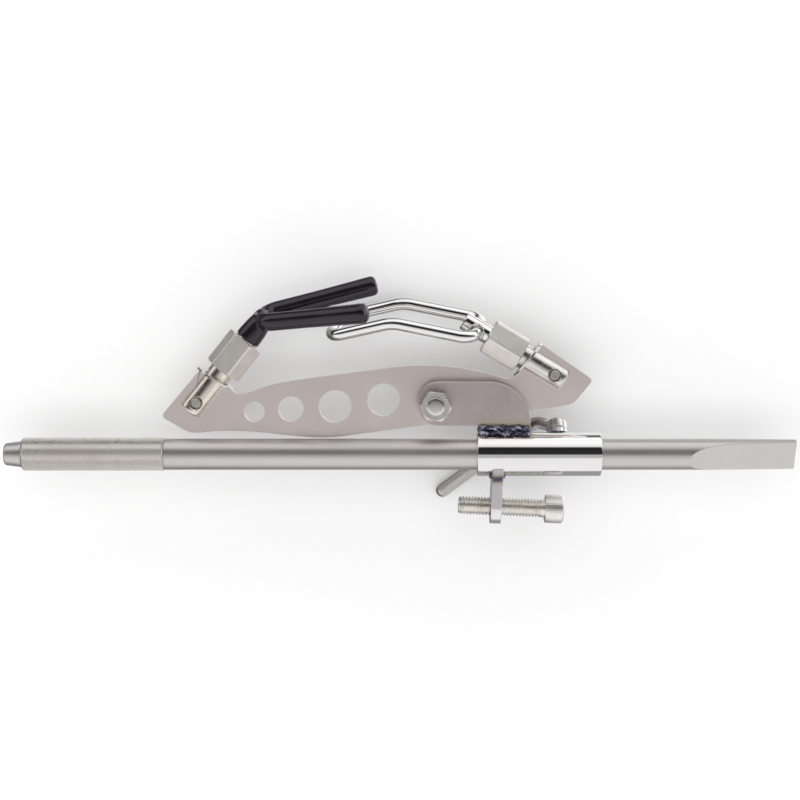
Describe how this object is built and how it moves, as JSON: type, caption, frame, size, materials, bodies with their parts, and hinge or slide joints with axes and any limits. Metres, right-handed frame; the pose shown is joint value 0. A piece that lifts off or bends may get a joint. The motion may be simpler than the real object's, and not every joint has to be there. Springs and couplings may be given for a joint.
{
  "type": "pry bar with sliding hook beam",
  "caption": "Round pry bar with knurled grip and chisel tip; a clampable sliding sleeve carries a rocking plate beam with a vinyl-coated fork hook and a wire loop hook.",
  "frame": {"origin": "centre of the bar's nose face, on the bar's axis", "axes": "+X along the bar from the nose to the chisel tip, +Y from the bar towards the hooks, +Z square to the plates, towards the pivot nut"},
  "size_m": [0.403, 0.1255, 0.0627],
  "materials": {
    "polished_bar": "turned and polished stainless, fine lengthwise grain",
    "knurled_steel": "diamond knurl, matt crests",
    "mirror_sleeve": "mirror polish",
    "brushed_arm": "brushed with fine random scratches",
    "satin_beam": "satin, faint mill grain",
    "weld_bead": "rippled weld with blue and straw heat tint",
    "bolt_steel": "bright plated hexagon",
    "washer_steel": "rolled bright steel",
    "pin_steel": "ground pin",
    "stud_steel": "turned steel with a straw tint",
    "bright_stud": "turned and polished steel",
    "nut_steel": "drawn hexagon, satin",
    "black_vinyl": "glossy dipped vinyl",
    "bright_rod": "bright polished rod",
    "bright_weld": "small bright weld",
    "polished_tab": "ground flat bar",
    "screw_steel": "plated screw",
    "handle_steel": "bent rod with a knurled end"
  },
  "bodies": {
    "bar": {"lever_bar": "polished_bar", "knurled_grip": "knurled_steel"},
    "slider": {"slide_sleeve": "mirror_sleeve", "arm_plate": "brushed_arm", "arm_weld": "weld_bead", "pivot_bolt": "bolt_steel", "pivot_nut": "bolt_steel", "pivot_spacer": "washer_steel", "pivot_washer": "washer_steel", "stop_tab": "polished_tab", "tab_weld": "weld_bead", "clamp_boss": "polished_tab", "boss_weld": "weld_bead"},
    "clamp": {"clamp_screw": "screw_steel", "clamp_handle": "handle_steel"},
    "stop": {"stop_screw": "screw_steel"},
    "beam": {"beam_plate": "satin_beam", "left_cross_pin": "pin_steel", "right_cross_pin": "pin_steel"},
    "left_stud": {"left_slotted_stud": "stud_steel"},
    "left_washer": {"left_edge_washer": "washer_steel"},
    "left_nut": {"left_coupling_nut": "nut_steel"},
    "fork": {"fork_stem": "stud_steel", "fork_prongs": "stud_steel", "vinyl_coat": "black_vinyl"},
    "right_stud": {"right_slotted_stud": "bright_stud"},
    "right_washer": {"right_edge_washer": "washer_steel"},
    "right_nut": {"right_coupling_nut": "nut_steel"},
    "loop": {"loop_stem": "bright_rod", "loop_rod": "bright_rod", "loop_weld": "bright_weld"}
  },
  "joints": [
    {"name": "sleeve_slide", "type": "slide", "parent": "bar", "child": "slider", "axis": [1, 0, 0], "range_m": [-0.157, 0.042]},
    {"name": "clamp_turn", "type": "hinge", "parent": "slider", "child": "clamp", "pos_m": [0.2826, 0, 0], "axis": [0, 0.7071, -0.7071], "range_deg": [-120, 20]},
    {"name": "stop_screw_travel", "type": "slide", "parent": "slider", "child": "stop", "axis": [0.9991, -0.0419, 0], "range_m": [-0.0222, 0.013]},
    {"name": "beam_rock", "type": "hinge", "parent": "slider", "child": "beam", "pos_m": [0.2196, 0.0252, 0], "axis": [0, 0, 1], "range_deg": [-8, 0]},
    {"name": "left_stud_lean", "type": "hinge", "parent": "beam", "child": "left_stud", "pos_m": [0.0978, 0.02615, -0.00556], "axis": [0, 0, 1], "range_deg": [-2, 15]},
    {"name": "left_washer_shift", "type": "slide", "parent": "beam", "child": "left_washer", "axis": [-0.8368, 0.5476, 0], "range_m": [-0.0006, 0.0042]},
    {"name": "left_nut_turn", "type": "hinge", "parent": "left_stud", "child": "left_nut", "pos_m": [0.0978, 0.02615, -0.00556], "axis": [0.6239, 0.7815, 0], "continuous": true},
    {"name": "fork_swivel", "type": "hinge", "parent": "left_stud", "child": "fork", "pos_m": [0.0978, 0.02615, -0.00556], "axis": [0.6239, 0.7815, 0], "range_deg": [-180, 12]},
    {"name": "right_stud_lean", "type": "hinge", "parent": "beam", "child": "right_stud", "pos_m": [0.2802, 0.04036, -0.00556], "axis": [0, 0, 1], "range_deg": [-4, 0]},
    {"name": "right_washer_shift", "type": "slide", "parent": "beam", "child": "right_washer", "axis": [-0.6494, -0.7604, 0], "range_m": [-0.0012, 0.0001]},
    {"name": "right_nut_turn", "type": "hinge", "parent": "right_stud", "child": "right_nut", "pos_m": [0.2802, 0.04036, -0.00556], "axis": [-0.8572, 0.515, 0], "continuous": true},
    {"name": "loop_swivel", "type": "hinge", "parent": "right_stud", "child": "loop", "pos_m": [0.2802, 0.04036, -0.00556], "axis": [-0.8572, 0.515, 0], "range_deg": [-180, 20]}
  ],
  "couplings": [
    {"joint": "left_washer_shift", "follows": "left_stud_lean", "m_per_rad": 0.0155},
    {"joint": "right_washer_shift", "follows": "right_stud_lean", "m_per_rad": 0.0155}
  ]
}
